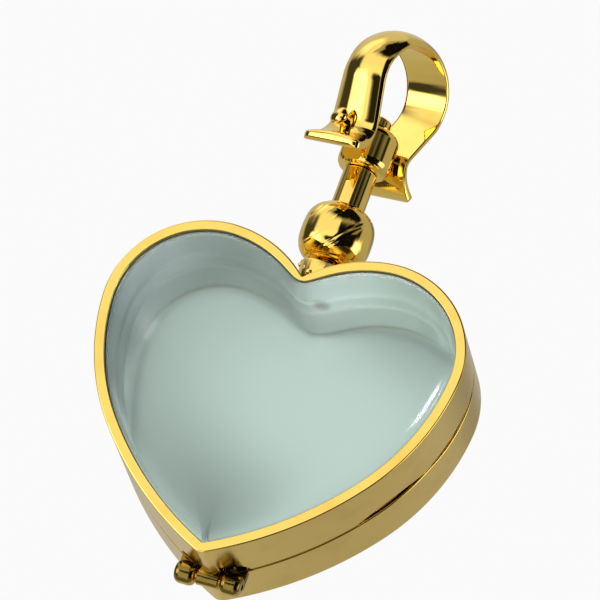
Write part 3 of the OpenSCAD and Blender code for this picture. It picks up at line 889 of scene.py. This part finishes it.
# Floor
# A matt pale floor well below the hanging piece, which polished surfaces don't reflect.
# A single plane, which is staging and no part of the object.
FLOOR_SIZE = 4
FLOOR_Z = -0.35
bpy.ops.mesh.primitive_plane_add(size=FLOOR_SIZE, location=(0, 0, FLOOR_Z))
floor = bpy.context.object
floor.name = "floor"
floor_material, _, floor_shader = new_material("floor")
floor_shader.inputs["Base Color"].default_value = (0.8, 0.8, 0.8, 1)
floor_shader.inputs["Roughness"].default_value = 0.9
floor.data.materials.append(floor_material)
floor.visible_glossy = False

# Card
# An upright pale card behind the piece that shows only through the glass, and gives it its tone.
# Its material glows evenly but for soft patches, which lie behind the glass in the photo's view.
CARD_SIZE = 0.3
CARD_BACK, CARD_UP = 60, 14
CARD_GLOW = 0.48
# Columns: place across and up, size across and up, in millimetres, and brightness
CARD_GLOWS = (
    (-18, 22, 32, 26, 0.16),
    (-25, 29, 9, 13, 0.42),
    (-15, 25, 16, 13, 0.67),
    (-11, 23, 10, 6.5, 0.70),
    (-6, 36, 9, 8, 0.30),
)
bpy.ops.mesh.primitive_plane_add(size=CARD_SIZE, rotation=(math.radians(90), 0, 0),
                                 location=tip + Vector((0, CARD_BACK, CARD_UP)) * MM)
card = bpy.context.object
card.name = "card"
card.visible_camera = card.visible_diffuse = card.visible_glossy = card.visible_shadow = False
card_material, card_tree, card_shader = new_material("card")
card_tree.nodes.remove(card_shader)
card_place = new_node(card_tree, "ShaderNodeTexCoord").outputs["Object"]


def mix_values(tree, share, first, second):
    """A value between two values or value sockets."""
    return new_node(tree, "ShaderNodeMix", {"Factor": share, 2: first, 3: second}).outputs[0]


glow = CARD_GLOW
for across, upward, wide, high, brightness in CARD_GLOWS:
    off = new_node(card_tree, "ShaderNodeMapping", {
        "Vector": card_place, "Location": (-across * MM, -upward * MM, 0)})
    off = new_node(card_tree, "ShaderNodeMapping", {
        "Vector": off.outputs[0], "Scale": (1 / (wide * MM), 1 / (high * MM), 0)})
    away = new_node(card_tree, "ShaderNodeVectorMath", {0: off.outputs[0]}, operation="LENGTH")
    near = new_node(card_tree, "ShaderNodeMapRange", {
        "Value": away.outputs["Value"], "From Min": 0.2, "From Max": 1.2,
        "To Min": 1, "To Max": 0}, interpolation_type="SMOOTHSTEP")
    glow = mix_values(card_tree, near.outputs[0], glow, brightness)
shining = new_node(card_tree, "ShaderNodeEmission", {"Color": (0.88, 1, 0.965, 1), "Strength": glow})
card_tree.links.new(shining.outputs[0], card_tree.nodes["Material Output"].inputs["Surface"])
card.data.materials.append(card_material)

# Studio sky
# A pale room, with the soft boxes, lamps and dark screens round the piece that only polished
# surfaces see. Each is a patch of the sky with a soft border, laid over those before it.
SKY_WARP = 0.35
SKY_LOW, SKY_HIGH = 0.37, 0.45      # brightness of the bare sky 30 degrees down and up
ROOM_LIGHT = 0.9
BACKDROP_LIGHT = 0.96
# Columns: middle azimuth, half width, middle elevation, half height, soft border, brightness
SKY_PATCHES = (
    (172, 22, 36, 18, 10, 0.18),        # dim ceiling behind
    (-115, 70, 10, 60, 20, 0.5),        # room at the left
    (-110, 60, 62, 28, 10, 0.66),       # pale ceiling at the left
    (-80, 17, 48, 16, 8, 1.3),          # window high at the left
    (-52, 9, 45, 20, 5, 1.0),           # its dimmer part
    (-37, 8, 45, 16, 4, 0.4),           # curtain beside it
    (-22, 37, -36, 62, 6, 1.15),        # large soft box in front and below
    (-22, 37, 22, 14, 6, 1.04),         # its dimmer upper edge
    (-3, 16, -17, 11, 4, 0.02),         # dark gap in it
    (51, 36, -15, 41, 4, 0.004),        # dark screen at the right front
    (28, 55, 57, 26, 7, 0.004),         # dark screen above
    (-86, 24, 6, 20, 6, 0.05),          # dark screen at the left
    (-80, 14, -30, 18, 6, 0.05),        # its lower part
    (-55, 19, -15, 13, 5, 2.6),         # bright lamp before it
    (91, 14, -3, 17, 8, 2.5),           # lamp at the right
)
scene = bpy.context.scene
world = bpy.data.worlds.new("studio")
scene.world = world
world.use_nodes = True
sky = world.node_tree
for old in list(sky.nodes):
    sky.nodes.remove(old)

patch, patch_in, patch_out = new_group(
    "sky_patch",
    {"Azimuth": 0, "Elevation": 0, "Middle": 0, "Half Width": 30, "Height": 0, "Half Height": 30,
     "Soft": 4},
    {"Mask": "NodeSocketFloat"})


def near_band(tree, value, middle, half, soft, wrapped):
    """1 where a value is within half of the middle, falling to 0 over a soft border."""
    off = new_node(tree, "ShaderNodeMath", {0: value, 1: middle}, operation="SUBTRACT").outputs[0]
    if wrapped:
        off = new_node(tree, "ShaderNodeMath", {0: off, 1: 180, 2: -180}, operation="WRAP").outputs[0]
    off = new_node(tree, "ShaderNodeMath", {0: off}, operation="ABSOLUTE").outputs[0]
    near = new_node(tree, "ShaderNodeMath", {0: half, 1: soft}, operation="SUBTRACT").outputs[0]
    far = new_node(tree, "ShaderNodeMath", {0: half, 1: soft}, operation="ADD").outputs[0]
    return new_node(tree, "ShaderNodeMapRange", {
        "Value": off, "From Min": near, "From Max": far, "To Min": 1, "To Max": 0},
        interpolation_type="SMOOTHSTEP").outputs[0]


across = near_band(patch, patch_in.outputs["Azimuth"], patch_in.outputs["Middle"],
                   patch_in.outputs["Half Width"], patch_in.outputs["Soft"], True)
upward = near_band(patch, patch_in.outputs["Elevation"], patch_in.outputs["Height"],
                   patch_in.outputs["Half Height"], patch_in.outputs["Soft"], False)
whole = new_node(patch, "ShaderNodeMath", {0: across, 1: upward}, operation="MULTIPLY")
patch.links.new(whole.outputs[0], patch_out.inputs["Mask"])

looking = new_node(sky, "ShaderNodeTexCoord").outputs["Generated"]
folds = new_node(sky, "ShaderNodeTexNoise", {"Vector": looking, "Scale": 2.5, "Detail": 2})
shift = new_node(sky, "ShaderNodeVectorMath", {
    0: folds.outputs["Color"], 1: (0.5, 0.5, 0.5)}, operation="SUBTRACT")
bent = new_node(sky, "ShaderNodeVectorMath", {
    0: shift.outputs[0], 1: (SKY_WARP, SKY_WARP, SKY_WARP), 2: looking}, operation="MULTIPLY_ADD")
bent = new_node(sky, "ShaderNodeVectorMath", {0: bent.outputs[0]}, operation="NORMALIZE")
parts = new_node(sky, "ShaderNodeSeparateXYZ", {0: bent.outputs[0]})
to_front = new_node(sky, "ShaderNodeMath", {0: parts.outputs["Y"], 1: -1}, operation="MULTIPLY")
turn = new_node(sky, "ShaderNodeMath", {
    0: parts.outputs["X"], 1: to_front.outputs[0]}, operation="ARCTAN2")
rise = new_node(sky, "ShaderNodeMath", {0: parts.outputs["Z"]}, operation="ARCSINE")
azimuth, elevation = (
    new_node(sky, "ShaderNodeMath", {0: angle.outputs[0]}, operation="DEGREES").outputs[0]
    for angle in (turn, rise))

brightness_here = new_node(sky, "ShaderNodeMapRange", {
    "Value": elevation, "From Min": -30, "From Max": 30,
    "To Min": SKY_LOW, "To Max": SKY_HIGH}).outputs[0]
for middle, half_width, height, half_height, soft, brightness in SKY_PATCHES:
    mask = new_node(sky, "ShaderNodeGroup", {
        "Azimuth": azimuth, "Elevation": elevation, "Middle": middle, "Half Width": half_width,
        "Height": height, "Half Height": half_height, "Soft": soft}, node_tree=patch)
    brightness_here = mix_values(sky, mask.outputs[0], brightness_here, brightness)

ray = new_node(sky, "ShaderNodeLightPath")
polished_sees = new_node(sky, "ShaderNodeBackground", {
    "Color": (1, 0.985, 0.96, 1), "Strength": brightness_here})
room = new_node(sky, "ShaderNodeBackground", {"Color": (0.95, 1, 0.98, 1), "Strength": ROOM_LIGHT})
behind = new_node(sky, "ShaderNodeBackground", {"Color": (1, 1, 1, 1), "Strength": BACKDROP_LIGHT})
lit = new_node(sky, "ShaderNodeMixShader", {
    0: ray.outputs["Is Glossy Ray"], 1: room.outputs[0], 2: polished_sees.outputs[0]})
seen = new_node(sky, "ShaderNodeMixShader", {
    0: ray.outputs["Is Camera Ray"], 1: lit.outputs[0], 2: behind.outputs[0]})
new_node(sky, "ShaderNodeOutputWorld", {"Surface": seen.outputs[0]})

# Spark lamp
# A small lamp at the right front that only the glass sees, for the glint on the dome's right edge.
# An area lamp that faces the tip and is linked to the glass.
SPARK_DISTANCE = 0.5
SPARK_AZIMUTH, SPARK_ELEVATION = math.radians(46), math.radians(11)
SPARK_WIDE, SPARK_HIGH = 0.13, 0.12
SPARK_POWER = 3.0
toward_spark = Vector((math.sin(SPARK_AZIMUTH) * math.cos(SPARK_ELEVATION),
                       -math.cos(SPARK_AZIMUTH) * math.cos(SPARK_ELEVATION),
                       math.sin(SPARK_ELEVATION)))
spark_data = bpy.data.lights.new("spark", "AREA")
spark_data.shape = "RECTANGLE"
spark_data.size = SPARK_WIDE
spark_data.size_y = SPARK_HIGH
spark_data.energy = SPARK_POWER
spark_data.color = (0.92, 0.9, 1.0)
spark = bpy.data.objects.new("spark", spark_data)
scene.collection.objects.link(spark)
spark.location = tip + SPARK_DISTANCE * toward_spark
spark.rotation_euler = toward_spark.to_track_quat("Z", "Y").to_euler()
spark.visible_diffuse = spark.visible_transmission = False
spark.light_linking.receiver_collection = seen_in_glass

# Camera
# It stands low at the right front with a long lens, as in the photo.
# Its place and its three axes were fitted to the outlines of the two rims.
CAMERA_LENS = 360.77
CAMERA_FROM_TIP = (118.397, -398.938, -140.726)
CAMERA_RIGHT = (0.93396, 0.14537, 0.32649)
CAMERA_DOWN = (0.23786, 0.42897, -0.87144)
CAMERA_FORWARD = (-0.26673, 0.89154, 0.36606)
camera_data = bpy.data.cameras.new("camera")
camera_data.lens = CAMERA_LENS
camera_data.clip_start = 0.01
camera = bpy.data.objects.new("camera", camera_data)
scene.collection.objects.link(camera)
camera.matrix_world = Matrix((
    (CAMERA_RIGHT[0], -CAMERA_DOWN[0], -CAMERA_FORWARD[0], tip.x + CAMERA_FROM_TIP[0] * MM),
    (CAMERA_RIGHT[1], -CAMERA_DOWN[1], -CAMERA_FORWARD[1], tip.y + CAMERA_FROM_TIP[1] * MM),
    (CAMERA_RIGHT[2], -CAMERA_DOWN[2], -CAMERA_FORWARD[2], tip.z + CAMERA_FROM_TIP[2] * MM),
    (0, 0, 0, 1)))
scene.camera = camera
scene.view_settings.view_transform = "Standard"
